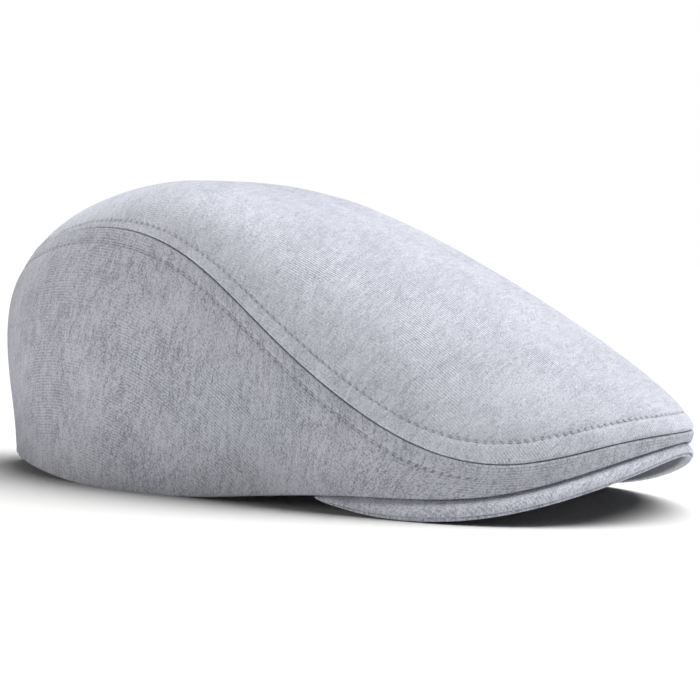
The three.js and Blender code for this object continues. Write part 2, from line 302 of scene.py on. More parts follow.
class StageLook(bpy.types.PropertyGroup):
    """Floor, lights and camera"""

    floor: colour_property("Floor", "Colour of the floor", (0.84, 0.84, 0.83))
    azimuth: angle_property("Azimuth", "Where the camera looks, from +Y towards +X", 67.224)
    elevation: angle_property("Elevation", "Camera above the horizon", 2.987)
    roll: angle_property("Roll", "Turn of the camera about its view", 2.958)
    distance: length_property("Distance", "From the camera to the point it looks at", 1001.56)
    aim_y: length_property("Aim along the cap", "Point that the camera looks at", -4.06)
    aim_z: length_property("Aim height", "Point that the camera looks at", 52.02)
    lens: FloatProperty(
        name="Lens", description="Focal length of the camera", default=134.98, unit="CAMERA"
    )
    sun: FloatProperty(name="Overhead light", description="Strength of the light", default=4.45)
    spread: angle_property("Spread", "Width of the overhead light, seen from the cap", 60)
    fill: FloatProperty(
        name="Side light", description="Power of the light", default=6.0, unit="POWER"
    )
    room: FloatProperty(name="Room", description="Strength of the light from around", default=0.05)


def peak_stack(sizes):
    return sizes.crown_gap + sizes.upper + sizes.cover_gap + sizes.under


def points_of(columns):
    return np.stack(np.broadcast_arrays(*columns), -1).astype(float)


def line_points(context, line, s):
    """Points of the seam or of the bottom edge at stations s"""
    crown = context.scene.cap_crown
    stack = peak_stack(context.scene.cap_peak)
    return points_of(
        (
            line["x"](s) * crown.width / 2,
            line["y"](s) * crown.length / 2 + crown.middle,
            line["z"](s) * crown.height + bottom["on_peak"](s) * stack,
        )
    )


def crown_top(context):
    crown = context.scene.cap_crown
    return np.array([0, TOP_Y * crown.length / 2 + crown.middle, crown.height])


def unit(vectors):
    return vectors / np.maximum(np.linalg.norm(vectors, axis=-1, keepdims=True), 1e-12)


def level_from_to(start, end):
    return unit((end - start) * (1, 1, 0))


def falling(level, degrees):
    """Unit directions that fall from level ones by angles in degrees"""
    angle = np.radians(degrees)[..., None]
    return level * np.cos(angle) - UP * np.sin(angle)


def top_controls(context, s):
    """Control points of the top panel's outer face, from the top of the crown to the seam"""
    top = crown_top(context)
    end = line_points(context, seam, s)
    outward = level_from_to(top, end)
    run = np.hypot(end[:, 0] - top[0], end[:, 1] - top[1])[:, None]
    span = np.linalg.norm(end - top, axis=1)[:, None]
    level = top + outward * seam["crown"](s)[:, None] * run
    shoulder = end - falling(outward, seam["slope"](s)) * seam["shoulder"](s)[:, None] * span
    return np.stack([np.broadcast_to(top, end.shape), level, shoulder, end], 1)


def side_controls(context, s):
    """Control points of a side panel's outer face, from the seam to the bottom edge"""
    start = line_points(context, seam, s)
    end = line_points(context, bottom, s)
    outward = level_from_to(crown_top(context), start)
    handle = SIDE_HANDLE * np.linalg.norm(end - start, axis=1)[:, None]
    below = start + falling(outward, seam["slope"](s)) * handle
    above = end - falling(outward, bottom["slope"](s)) * handle
    return np.stack([start, below, above, end], 1)


def runs_along(points):
    """Distances along each line of a grid of points"""
    strides = np.linalg.norm(np.diff(points, axis=1), axis=2)
    return np.concatenate([np.zeros((len(points), 1)), np.cumsum(strides, axis=1)], 1)


class Sections:
    """Curves of one outer face, at even steps of their own length"""

    def __init__(self, controls, steps=160):
        t = np.linspace(0, 1, steps)[None, :, None]
        a, b, c, d = (controls[:, k, None] for k in range(4))
        self.points = (
            a * (1 - t) ** 3 + 3 * b * (1 - t) ** 2 * t + 3 * c * (1 - t) * t**2 + d * t**3
        )
        self.run = runs_along(self.points)
        self.length = self.run[:, -1]

    def at(self, shares):
        wanted = np.clip(shares, 0, 1) * self.length[:, None]
        made = np.empty((*wanted.shape, 3))
        for i, row in enumerate(wanted):
            for axis in range(3):
                made[i, :, axis] = np.interp(row, self.run[i], self.points[i, :, axis])
        return made


class Face:
    """Points and outward normals of one outer face, over a grid of stations and distances"""

    def __init__(self, context, controls_at, stations):
        near = 0.01
        self.here = Sections(controls_at(context, stations))
        self.before = Sections(controls_at(context, stations - near))
        self.after = Sections(controls_at(context, stations + near))
        self.length = self.here.length

    def grid(self, distances):
        shares = distances / self.length[:, None]
        small = 0.002
        tangent = self.here.at(shares + small) - self.here.at(shares - small)
        along = self.after.at(shares) - self.before.at(shares)
        return self.here.at(shares), unit(np.cross(tangent, along))


def roll_drop(inset, radius, depth=None):
    """How far a rounded edge lies below the face, at insets from that edge"""
    left = np.clip(1 - inset / radius, 0, 1)
    return (radius if depth is None else depth) * (1 - np.sqrt(1 - left**2))


def channel(distance, width):
    """A soft dip, 1 at its middle"""
    return np.exp(-((distance / width) ** 2))


def turned_share(inset, depth, step):
    """1 where the cloth is turned under beside an edge, and 0 past the step"""
    return np.clip((depth + step - inset) / step, 0, 1)


def swelling(points, sizes, room):
    """Soft, uneven swelling of the cloth, which fades out towards its edges"""
    made = [
        sum(share * noise(Vector(p) * waves + Vector(place)) for waves, share, place in SWELLS)
        for p in points.reshape(-1, 3)
    ]
    fade = np.clip(room / SWELL_ROOM, 0, 1) ** 1.5
    return np.reshape(made, points.shape[:-1]) * fade * sizes.swell


def puckers(along, inset, row):
    """Short, low ripples of the cloth between a seam and its row of stitches"""
    made = [noise(Vector((a * PUCKER_WAVES, 0.4, 6.9))) for a in along.ravel()]
    near = channel(inset - row * 0.55, row * 0.75)
    return np.reshape(made, along.shape) * near * PUCKER_HEIGHT


def cloth_mesh(name, outer, inner, uv, marks, ring, flip):
    """A closed shell through grids of outer and inner points, with its cloth map and marks"""
    rows, columns = outer.shape[:2]
    count = rows * columns
    outside = np.arange(count).reshape(rows, columns)
    if ring:
        outside[:, 0] = 0
    inside = outside + count
    loops = np.concatenate([outside, inside[:, ::-1]], axis=1)
    if ring:
        loops = np.concatenate([loops, loops[:1]])
    faces = []
    for here, following in zip(loops, loops[1:]):
        for k in range(len(here)):
            j = (k + 1) % len(here)
            faces.append((here[k], here[j], following[j], following[k]))
    if not ring:
        for k in range(1, columns):
            faces.append((outside[0, k - 1], inside[0, k - 1], inside[0, k], outside[0, k]))
            faces.append((outside[-1, k], inside[-1, k], inside[-1, k - 1], outside[-1, k - 1]))
    clean = []
    for face in faces:
        corners = list(dict.fromkeys(int(i) for i in face))
        if len(corners) > 2:
            clean.append(corners[::-1] if flip else corners)
    points = np.concatenate([outer.reshape(-1, 3), inner.reshape(-1, 3)])
    used = np.unique(np.concatenate([np.array(corners) for corners in clean]))
    place = np.full(2 * count, -1)
    place[used] = np.arange(len(used))
    mesh = bpy.data.meshes.new(name)
    mesh.from_pydata(points[used].tolist(), [], [place[c].tolist() for c in clean])
    maps = np.concatenate([uv.reshape(-1, 2)] * 2)[used]
    corner_points = np.empty(len(mesh.loops), np.int32)
    mesh.loops.foreach_get("vertex_index", corner_points)
    mesh.uv_layers.new(name="cloth").data.foreach_set(
        "uv", maps[corner_points].astype(np.float32).ravel()
    )
    for mark, values in marks.items():
        both = np.concatenate([values.ravel()] * 2)[used]
        mesh.attributes.new(mark, "FLOAT", "POINT").data.foreach_set(
            "value", both.astype(np.float32)
        )
    mesh.shade_smooth()
    mesh.set_sharp_from_angle(angle=math.radians(65))
    mesh.update()
    if mesh.validate():
        raise RuntimeError(f"the mesh of {name} isn't sound")
    return mesh


def add_object(context, name, data):
    thing = bpy.data.objects.new(name, data)
    context.scene.collection.objects.link(thing)
    return thing


def add_cloth(context, mesh, material, node):
    """The object of a finished cloth mesh, which stands for one solid of the frame"""
    mesh.materials.append(material)
    cloth = add_object(context, mesh.name, mesh)
    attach(cloth, "root")
    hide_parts(node)
    return cloth


def add_node(tree, kind, inputs=None, **settings):
    """A node with its settings, and its inputs linked to sockets or nodes or set to values"""
    node = tree.nodes.new(kind)
    for name, value in settings.items():
        setattr(node, name, value)
    for name, value in (inputs or {}).items():
        if isinstance(value, bpy.types.Node):
            value = value.outputs[0]
        if isinstance(value, bpy.types.NodeSocket):
            tree.links.new(value, node.inputs[name])
        else:
            node.inputs[name].default_value = value
    return node


class NodeBench:
    """Adds and links nodes of one material"""

    def __init__(self, material):
        material.use_nodes = True
        self.tree = material.node_tree
        self.tree.nodes.clear()
        self.add = partial(add_node, self.tree)

    def math(self, operation, a, b=0.0, c=0.0, clamp=False):
        inputs = {0: a, 1: b, 2: c}
        node = self.add("ShaderNodeMath", inputs, operation=operation, use_clamp=clamp)
        return node.outputs[0]

    def attribute(self, name):
        return self.add("ShaderNodeAttribute", attribute_name=name).outputs["Fac"]

    def ramp(self, value, low, high, to_low=0.0, to_high=1.0):
        inputs = {"Value": value, "From Min": low, "From Max": high}
        inputs.update({"To Min": to_low, "To Max": to_high})
        node = self.add("ShaderNodeMapRange", inputs, interpolation_type="SMOOTHSTEP")
        return node.outputs["Result"]

    def noise(self, vector, scale, detail=2.0, roughness=0.5, distortion=0.0):
        node = self.add(
            "ShaderNodeTexNoise",
            {
                "Vector": vector,
                "Scale": scale,
                "Detail": detail,
                "Roughness": roughness,
                "Distortion": distortion,
            },
        )
        return node.outputs["Fac"]

    def stretched(self, vector, scale):
        node = self.add("ShaderNodeMapping", {"Vector": vector, "Scale": scale})
        return node.outputs["Vector"]

    def between(self, share, low, high):
        """A colour from low, at a share of 0, to high"""
        node = self.add("ShaderNodeMix", {0: share, 6: (*low, 1), 7: (*high, 1)}, data_type="RGBA")
        return node.outputs[2]

    def bump(self, height, strength, distance):
        inputs = {"Height": height, "Strength": strength, "Distance": distance}
        return self.add("ShaderNodeBump", inputs).outputs["Normal"]

    def cover(self, inputs):
        surface = self.add("ShaderNodeBsdfPrincipled", inputs)
        self.add("ShaderNodeOutputMaterial", {"Surface": surface})


def jersey_material(name, look, sewing, contrast, shade=1.0, stitched=True, painted_shade_under=1.0):
    """Brushed heather jersey: mixed yarns, ribs along the cap, slubs across it and a soft nap"""
    material = bpy.data.materials.new(name)
    bench = NodeBench(material)
    cloth = bench.add("ShaderNodeUVMap", uv_map="cloth").outputs["UV"]
    body = bench.add("ShaderNodeTexCoord").outputs["Object"]
    parts = bench.add("ShaderNodeSeparateXYZ", {0: cloth})

    # Yarns: fine fibres lie along the ribs, and soft slubs run across them
    mix, height, yarns = MIX_START, 0.0, {}
    for yarn, (along, across, roughness, bend, tint, lift) in YARNS.items():
        scaled = bench.stretched(cloth, (along, across, 1))
        yarns[yarn] = bench.noise(scaled, 1.0, 2.0, roughness, bend)
        mix = bench.math("MULTIPLY_ADD", yarns[yarn], tint, mix)
        height = bench.math("MULTIPLY_ADD", yarns[yarn], lift, height)
    clouds = bench.noise(body, 55.0, 2.0, 0.5)
    flecks = bench.noise(bench.stretched(cloth, (700, 520, 1)), 1.0, 1.0, 0.5, 0.8)

    # Ribs of the knit: fine waves along the cap, bent a little by the slubs
    sway = bench.math("MULTIPLY", yarns["slubs"], RIB_BEND)
    turns = bench.math("MULTIPLY_ADD", parts.outputs["Y"], 2 * math.pi / look.rib, sway)
    rib = bench.math("SINE", turns)
    worn = bench.ramp(bench.noise(body, 30.0, 2.0, 0.5), 0.4, 0.65, 0.15, 1.0)
    knit = bench.math("MULTIPLY", rib, worn)
    height = bench.math("MULTIPLY_ADD", knit, 0.4, height)

    # From the dark yarn to the light one, with flecks of both
    mix = bench.math("MULTIPLY_ADD", clouds, 0.35, mix)
    mix = bench.math("MULTIPLY_ADD", knit, 0.085, mix)
    reach = MIX_REACH / contrast
    share = bench.ramp(mix, MIX_MIDDLE - reach, MIX_MIDDLE + reach)
    fleck = bench.ramp(flecks, 0.66, 0.76, 0.0, 0.4)
    share = bench.math("SUBTRACT", share, fleck)
    bright = bench.ramp(flecks, 0.26, 0.34, 0.35, 0.0)
    share = bench.math("ADD", share, bright, clamp=True)

    # Needle holes between the stitches: a dip in the bump, and painted shade that darkens the
    # cloth's colour in them
    if stitched:
        phase = bench.math("FRACT", bench.attribute("stitch_phase"))
        run = bench.math("MULTIPLY", bench.math("SUBTRACT", phase, 0.5), sewing.pitch)
        away = bench.add("ShaderNodeCombineXYZ", {0: run, 1: bench.attribute("stitch_row")})
        length = bench.add("ShaderNodeVectorMath", {0: away}, operation="LENGTH")
        hole = bench.ramp(length.outputs["Value"], 0.3 * MM, 0.95 * MM, 1.0, 0.0)
        share = bench.math("MULTIPLY_ADD", hole, -0.85, share, clamp=True)
        height = bench.math("MULTIPLY_ADD", hole, -1.4, height)

    # Painted shade: a shade below 1, as the side panels pass, darkens both yarns
    dark, light = ([c * shade for c in colour] for colour in (look.dark, look.light))
    colour = bench.between(share, dark, light)
    # Painted shade: the colour darkens away from the edge, where shade falls under the peak
    if painted_shade_under < 1:
        left = bench.ramp(bench.attribute("from_edge"), 2 * MM, 4.5 * MM, 1.0, painted_shade_under)
        scaled = {0: colour, "Scale": left}
        colour = bench.add("ShaderNodeVectorMath", scaled, operation="SCALE").outputs["Vector"]

    bench.cover(
        {
            "Base Color": colour,
            "Roughness": 0.94,
            "Specular IOR Level": 0.22,
            "Sheen Weight": 0.35,
            "Sheen Roughness": 0.45,
            "Sheen Tint": (0.9, 0.92, 1.0, 1),
            "Normal": bench.bump(height, 0.55, 0.35 * MM),
        }
    )
    return material


def thread_material(look):
    """Twisted sewing thread, close to the jersey in colour"""
    material = bpy.data.materials.new("sewing_thread")
    bench = NodeBench(material)
    body = bench.add("ShaderNodeTexCoord").outputs["Object"]
    twist = bench.noise(body, 2600.0, 1.0, 0.5)
    dark, light = ([c * share for c in look.thread] for share in (0.75, 1.25))
    colour = bench.between(bench.ramp(twist, 0.3, 0.7), dark, light)
    normal = bench.bump(twist, 0.4, 0.1 * MM)
    bench.cover({"Base Color": colour, "Roughness": 0.7, "Normal": normal})
    return material


def round_stations(last, steps):
    """Signed stations from the middle of the back round the right side, the front and the left"""
    half = np.arange(1, last * steps + 1) / steps
    return np.concatenate([-half[::-1], [0], half])


def mirror(points, signed):
    """Points of the left side, put on the side of the cap that each signed station lies on"""
    signs = np.where(signed < 0, -1.0, 1.0).reshape(-1, *[1] * (points.ndim - 1))
    return points * np.where([True, False, False], signs, 1.0)


def seam_run(context, signed):
    """Distance along the seam at signed stations"""
    points = line_points(context, seam, np.abs(signed))
    return runs_along(mirror(points, signed)[None])[0]


def top_row(sewing, stations):
    """Inset of the top row of stitches, and how deep it pulls the cloth in"""
    share = seam["row"](stations)
    return share * sewing.top_inset, share**2 * sewing.sink


def stitch_marks(along, row_distance, pitch):
    return {"stitch_phase": along / pitch, "stitch_row": row_distance}


class CAP_OT_top_panel(bpy.types.Operator):
    """Build the long top panel, from the back over the crown down to the peak"""

    bl_idname = "flat_cap.top_panel"
    bl_label = "Top panel"

    def execute(self, context):
        crown = context.scene.cap_crown
        sewing = context.scene.cap_sewing
        signed = round_stations(BACK, CROWN_STEPS)[1:]
        face = Face(context, top_controls, np.abs(signed))
        rows = np.array(SEAM_ROWS) * MM
        deepest = face.length[:, None] - crown.gap / 2
        distances = np.concatenate(
            [np.array(OPEN_ROWS) * (deepest - rows[-1]), deepest - rows[::-1][1:]], 1
        )
        insets = deepest - distances
        points, normals = (mirror(grid, signed) for grid in face.grid(distances))
        normals[:, 0] = UP
        along = np.broadcast_to(seam_run(context, signed)[:, None], insets.shape)
        row, sink = top_row(sewing, np.abs(signed)[:, None])
        drop = roll_drop(insets, crown.roll)
        drop = drop + sink * channel(insets - row, TOP_GROOVE)
        lift = swelling(points, crown, insets) + puckers(along, insets, row)
        lift = np.where(insets < crown.roll, 0, lift)
        outer = points + normals * (lift - drop)[..., None]
        share = turned_share(insets, crown.allowance, crown.turn_step)
        thick = crown.cloth + (crown.turned - crown.cloth) * share
        inner = points + normals * (np.where(insets > crown.roll, lift, 0) - thick)[..., None]
        outer[:, 0], inner[:, 0] = outer[0, 0], inner[0, 0]
        level = level_from_to(crown_top(context), line_points(context, seam, np.abs(signed)))
        uv = distances[..., None] * mirror(level, signed)[:, None, [1, 0]]
        marks = stitch_marks(along, insets - row, sewing.pitch)
        mesh = cloth_mesh("top_panel_cloth", outer, inner, uv, marks, ring=True, flip=False)
        cloth = add_cloth(
            context,
            mesh,
            jersey_material("top_jersey", context.scene.cap_jersey, sewing, 0.85),
            "top_panel",
        )
        return {"FINISHED"}


def side_grid(context):
    """Stations and end insets of a side panel's columns, closer together beside its short seams"""
    crown = context.scene.cap_crown
    near = 0.1
    insets = np.array(END_COLUMNS) * MM
    front_width = abs(seam["x"](near)) * crown.width / 2
    back_width = abs(seam["x"](BACK - near)) * crown.width / 2
    front = (crown.join / 2 + insets) * near / front_width
    back = BACK - (crown.join / 2 + insets) * near / back_width
    plain = np.arange(1, BACK * CROWN_STEPS) / CROWN_STEPS
    plain = plain[(plain > front[-1] + near / 8) & (plain < back[-1] - near / 8)]
    stations = np.concatenate([front, plain, back[::-1]])
    ends = np.concatenate([insets, np.full(len(plain), 1.0), insets[::-1]])
    return stations, ends


class CAP_OT_side_panels(bpy.types.Operator):
    """Build the two side panels, tall at the back and narrow round the front"""

    bl_idname = "flat_cap.side_panels"
    bl_label = "Side panels"

    def execute(self, context):
        crown = context.scene.cap_crown
        sewing = context.scene.cap_sewing
        stations, ends = side_grid(context)
        face = Face(context, side_controls, stations)
        length = face.length[:, None]
        seam_rows = np.array(EDGE_ROWS) * MM
        hem_rows = np.array(HEM_ROWS) * MM
        fit = np.minimum(1, EDGE_SHARE * length / seam_rows[-1])
        hem_fit = np.minimum(1, EDGE_SHARE * length / hem_rows[-1])
        upper = crown.gap / 2 + seam_rows * fit
        lower = length - (hem_rows * hem_fit)[:, ::-1]
        shares = np.linspace(0, 1, PLAIN_ROWS + 2)[1:-1]
        middle = upper[:, -1:] + shares * (lower[:, :1] - upper[:, -1:])
        distances = np.concatenate([upper, middle, lower], 1)
        points, normals = face.grid(distances)
        below_seam = distances - crown.gap / 2
        above_hem = length - distances
        along = np.broadcast_to(runs_along(face.here.points[None, :, 0]).T, distances.shape)
        edge = np.minimum(np.minimum(below_seam, above_hem), ends[:, None])
        fade = np.clip((stations - GROOVE_START) / GROOVE_RUN, 0, 1)[:, None]
        row = sewing.side_inset
        drop = roll_drop(np.minimum(below_seam, ends[:, None]), crown.roll)
        drop = np.maximum(drop, roll_drop(above_hem, crown.hem_roll))
        groove = channel(below_seam - row, SIDE_GROOVE)
        groove = groove + HEM_SINK * channel(above_hem - sewing.hem_inset, SIDE_GROOVE)
        drop = drop + fade * sewing.sink * groove
        allowance = turned_share(below_seam / fit, crown.allowance, crown.turn_step)
        hem = turned_share(above_hem / hem_fit, crown.hem, crown.turn_step)
        joined = turned_share(ends[:, None], crown.allowance, crown.turn_step)
        share = np.maximum(np.maximum(allowance, hem), joined)
        share = np.maximum(share, 1 - np.minimum(1, length / NARROW) ** 8)
        thick = crown.cloth + (crown.turned - crown.cloth) * share
        gather = sum(
            height * MM * channel(stations - at, width) for at, height, width in GATHERS.values()
        )
        gather = gather[:, None] * np.exp(-above_hem / GATHER_RUN)
        for side, sign in (("left", 1.0), ("right", -1.0)):
            shifted = points * (sign, 1, 1)
            lift = swelling(shifted, crown, edge) + puckers(along + sign, below_seam, row) * fade
            lift = np.where(edge < crown.roll, 0, lift) + gather * np.clip(edge / crown.roll, 0, 1)
            outer = points + normals * (lift - drop)[..., None]
            depth = roll_drop(above_hem, crown.hem_roll) - thick
            inner = points + normals * (depth + np.where(edge < crown.roll, 0, lift))[..., None]
            for grid in (outer, inner):
                grid[..., 0] = np.maximum(grid[..., 0], crown.join / 2) * sign
                grid[..., 2] = np.maximum(grid[..., 2], 0)
            uv = np.stack([along * sign, -distances], -1)
            marks = stitch_marks(
                along,
                np.where(fade > 0, np.minimum(below_seam - row, above_hem + 1), 1.0),
                sewing.pitch,
            )
            mesh = cloth_mesh(
                f"side_panel_{side}_cloth", outer, inner, uv, marks, ring=False, flip=sign < 0
            )
            # The side panels' jersey is darkened by painted shade
            cloth = add_cloth(
                context,
                mesh,
                jersey_material(
                    f"side_{side}_jersey", context.scene.cap_jersey, sewing, 1.75, SIDE_PAINTED_SHADE
                ),
                f"side_panel_{side}",
            )
        return {"FINISHED"}


def hem_corner(context, stations):
    """The inner corner of the crown's bottom edge"""
    crown = context.scene.cap_crown
    face = Face(context, side_controls, stations)
    points, normals = face.grid(face.length[:, None])
    return points[:, 0] - normals[:, 0] * crown.turned


def head_line(context, stations):
    """Where the peak's top meets the head opening, a quarter ellipse from the brow to a tip"""
    sizes = context.scene.cap_peak
    corner = hem_corner(context, np.array([TIP]))[0]
    rise = sizes.tip * math.tan(math.radians(float(peak["slope"](TIP))))
    tip = np.array([corner[0] - sizes.tip, corner[1], corner[2] - sizes.crown_gap + rise])
    brow_y = hem_corner(context, np.array([float(BACK)]))[0][1] - sizes.head
    angle = stations / TIP * (math.pi / 2)
    return points_of(
        (
            tip[0] * np.sin(angle),
            tip[1] + (brow_y - tip[1]) * np.cos(angle),
            tip[2] + (sizes.brow - tip[2]) * np.cos(angle),
        )
    )


def peak_top(context, signed, set_back=0.0):
    """Points over the peak, from the forehead to its outer edge, and their insets from the edge"""
    sizes = context.scene.cap_peak
    stations = np.abs(signed)
    corner = hem_corner(context, stations)
    seat = corner - UP * sizes.crown_gap
    head = head_line(context, stations)
    slope = peak["slope"](stations)
    climb = falling(level_from_to(seat, head), -slope)
    depth = np.hypot(head[:, 0] - seat[:, 0], head[:, 1] - seat[:, 1])[:, None]
    rim = line_points(context, bottom, stations)
    reach = sizes.lip * peak["lip"](stations) + np.linalg.norm(corner - rim, axis=1) - set_back
    bend = seat + climb * PEAK_ARCH * depth
    t = np.linspace(1, 0, PEAK_ROWS)[None, :, None]
    body = head[:, None] * t**2 + 2 * bend[:, None] * t * (1 - t) + seat[:, None] * (1 - t) ** 2
    rows = np.array(PEAK_EDGE_ROWS)[::-1] * MM
    fit = np.minimum(1, reach[:, None] / (LIP_ROOM * rows[0]))
    lip_insets = rows * fit
    lip = seat[:, None] + climb[:, None] * (lip_insets - reach[:, None])[..., None]
    insets = np.concatenate([np.full(body.shape[:2], 1.0), lip_insets / fit], 1)
    return mirror(np.concatenate([body, lip], 1), signed), insets


def outward_map(points):
    """A cloth map that runs outward from the head opening, and the distances from the edge"""
    run = runs_along(points)
    outward = level_from_to(points[:, 0], points[:, -1])
    uv = (points[:, :1] + run[..., None] * outward[:, None])[..., [1, 0]]
    return uv, {"from_edge": run[:, -1:] - run}


class CAP_OT_peak(bpy.types.Operator):
    """Build the peak's upper cover with its board, and its under cover"""

    bl_idname = "flat_cap.peak"
    bl_label = "Peak"

    def execute(self, context):
        sizes = context.scene.cap_peak
        look = context.scene.cap_jersey
        sewing = context.scene.cap_sewing
        count = round(TIP * PEAK_STEPS)
        half = np.linspace(0, TIP, count + 1)
        signed = np.concatenate([-half[:0:-1], half])
        stations = np.abs(signed)
        taper = np.sqrt(1 - np.clip(1 - (TIP - stations) / TIP_TAPER, 0, 0.995) ** 2)
        share = (peak["thickness"](stations) * taper)[:, None]
        upper = sizes.upper * share
        under = sizes.under * share
        points, insets = peak_top(context, signed)
        tuck = roll_drop(insets, sizes.tuck) * share
        top = points - UP * (roll_drop(insets, sizes.roll) * share)[..., None]
        below = points - UP * (upper - tuck)[..., None]
        points, insets = peak_top(context, signed, sizes.set_back)
        deepest = sizes.under - sizes.tuck - sizes.edge
        rounded = roll_drop(insets, sizes.bottom_roll, deepest) * share
        ceiling = points - UP * (upper + sizes.cover_gap + tuck)[..., None]
        base = points - UP * (upper + sizes.cover_gap + under - rounded)[..., None]
        base[..., 2] = np.maximum(base[..., 2], 0)
        ceiling[..., 2] = np.maximum(ceiling[..., 2], base[..., 2])
        # The under cover is darkened away from its edge by painted shade
        for name, outer, inner, face, node, inside in (
            ("peak_upper_cloth", top, below, top, "peak_upper", 1.0),
            ("peak_underside_cloth", ceiling, base, base, "peak_underside", UNDER_PAINTED_SHADE),
        ):
            uv, marks = outward_map(face)
            mesh = cloth_mesh(name, outer, inner, uv, marks, ring=False, flip=False)
            material = jersey_material(
                f"{node}_jersey", look, sewing, 1.3, stitched=False, painted_shade_under=inside
            )
            cloth = add_cloth(context, mesh, material, node)
        return {"FINISHED"}


def stitch_tree(name):
    """Geometry nodes that lay separate stitches along a line"""
    tree = bpy.data.node_groups.new(name, "GeometryNodeTree")
    interface = tree.interface
    for label, kind in STITCH_INPUTS.items():
        interface.new_socket(label, in_out="INPUT", socket_type=f"NodeSocket{kind}")
    interface.new_socket("Stitches", in_out="OUTPUT", socket_type="NodeSocketGeometry")

    add = partial(add_node, tree)
    given = add("NodeGroupInput").outputs
    curve = add("GeometryNodeMeshToCurve", {"Mesh": given["Line"]})
    spaced = {"Curve": curve, "Length": given["Pitch"]}
    even = add("GeometryNodeResampleCurve", spaced, mode="LENGTH")
    tangent = add("GeometryNodeInputTangent")
    facing = add("GeometryNodeInputNamedAttribute", {"Name": "facing"}, data_type="FLOAT_VECTOR")
    turn = add(
        "FunctionNodeAxesToRotation",
        {"Primary Axis": tangent, "Secondary Axis": facing},
        primary_axis="X",
        secondary_axis="Z",
    )
    skew = add(
        "FunctionNodeRandomValue",
        {2: -STITCH_SKEW, 3: STITCH_SKEW, "Seed": given["Seed"]},
        data_type="FLOAT",
    )
    tilt = add("FunctionNodeAxisAngleToRotation", {"Axis": (0, 0, 1), "Angle": skew.outputs[1]})
    turned = add(
        "FunctionNodeRotateRotation",
        {"Rotation": turn, "Rotate By": tilt},
        rotation_space="LOCAL",
    )
    half = add("ShaderNodeMath", {0: given["Stitch Length"], 1: 0.5}, operation="MULTIPLY")
    size = add(
        "ShaderNodeCombineXYZ",
        {0: half, 1: given["Thread Radius"], 2: given["Thread Radius"]},
    )
    bead = add("GeometryNodeMeshUVSphere", {"Segments": 8, "Rings": 5, "Radius": 1.0})
    laid = add("GeometryNodeTransform", {"Geometry": bead, "Rotation": (0, math.pi / 2, 0)})
    placed = add(
        "GeometryNodeInstanceOnPoints",
        {"Points": even, "Instance": laid, "Rotation": turned, "Scale": size},
    )
    real = add("GeometryNodeRealizeInstances", {0: placed})
    smooth = add("GeometryNodeSetShadeSmooth", {0: real})
    covered = add("GeometryNodeSetMaterial", {"Geometry": smooth, "Material": given["Material"]})
    add("NodeGroupOutput", {"Stitches": covered})
    return tree


def sew(context, name, points, normals, tree, material):
    """A row of stitches along points on the cloth, as one plain mesh"""
    sewing = context.scene.cap_sewing
    line = bpy.data.meshes.new(f"{name}_line")
    count = len(points)
    line.from_pydata(points.tolist(), [(i, i + 1) for i in range(count - 1)], [])
    line.attributes.new("facing", "FLOAT_VECTOR", "POINT").data.foreach_set(
        "vector", normals.astype(np.float32).ravel()
    )
    guide = add_object(context, f"{name}_guide", line)
    modifier = guide.modifiers.new("Stitches", "NODES")
    modifier.node_group = tree
    values = {
        "Pitch": sewing.pitch,
        "Stitch Length": sewing.stitch,
        "Thread Radius": sewing.thread,
        "Seed": sewing.seed,
        "Material": material,
    }
    for item in tree.interface.items_tree:
        if item.in_out == "INPUT" and item.name in values:
            modifier[item.identifier] = values[item.name]
    context.view_layer.update()
    graph = context.evaluated_depsgraph_get()
    mesh = bpy.data.meshes.new_from_object(guide.evaluated_get(graph))
    mesh.name = name
    guide.modifiers.remove(modifier)
    bpy.data.objects.remove(guide)
    if not mesh.polygons:
        raise RuntimeError(f"{name} came out empty")
    row = add_object(context, name, mesh)
    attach(row, "root")
    return row


class CAP_OT_stitches(bpy.types.Operator):
    """Sew the rows of stitches beside the seam and along the hem"""

    bl_idname = "flat_cap.stitches"
    bl_label = "Stitches"

    def execute(self, context):
        sewing = context.scene.cap_sewing
        crown = context.scene.cap_crown
        tree = stitch_tree("stitch_row")
        material = thread_material(context.scene.cap_jersey)
        signed = round_stations(BACK, CROWN_STEPS)
        inset, sink = top_row(sewing, np.abs(signed)[:, None])
        face = Face(context, top_controls, np.abs(signed))
        distance = face.length[:, None] - crown.gap / 2 - inset
        points, normals = (mirror(grid, signed) for grid in face.grid(distance))
        along = seam_run(context, signed)[:, None]
        lift = swelling(points, crown, inset) + puckers(along, inset, inset)
        height = (lift - sink + 0.3 * sewing.thread)[..., None]
        points = (points + normals * height)[:, 0]
        sew(context, "top_stitches", points, normals[:, 0], tree, material)
        stations = np.arange(SIDE_ROW_START * CROWN_STEPS, BACK * CROWN_STEPS) / CROWN_STEPS
        face = Face(context, side_controls, stations)
        inset = np.full((len(stations), 1), sewing.side_inset)
        beside_seam = face.grid(crown.gap / 2 + inset)
        above_hem = face.grid(face.length[:, None] - sewing.hem_inset)
        for side, flip in (("left", (1, 1, 1)), ("right", (-1, 1, 1))):
            points, normals = (grid * flip for grid in beside_seam)
            height = swelling(points, crown, inset) - sewing.sink + 0.4 * sewing.thread
            row = (points + normals * height[..., None])[:, 0]
            sew(context, f"side_stitches_{side}", row, normals[:, 0], tree, material)
            points, normals = (grid * flip for grid in above_hem)
            height = -HEM_SINK * sewing.sink - 0.2 * sewing.thread
            row = (points + normals * height)[:, 0]
            row[:, 2] = np.maximum(row[:, 2], sewing.thread)
            sew(context, f"hem_stitches_{side}", row, normals[:, 0], tree, material)
        return {"FINISHED"}


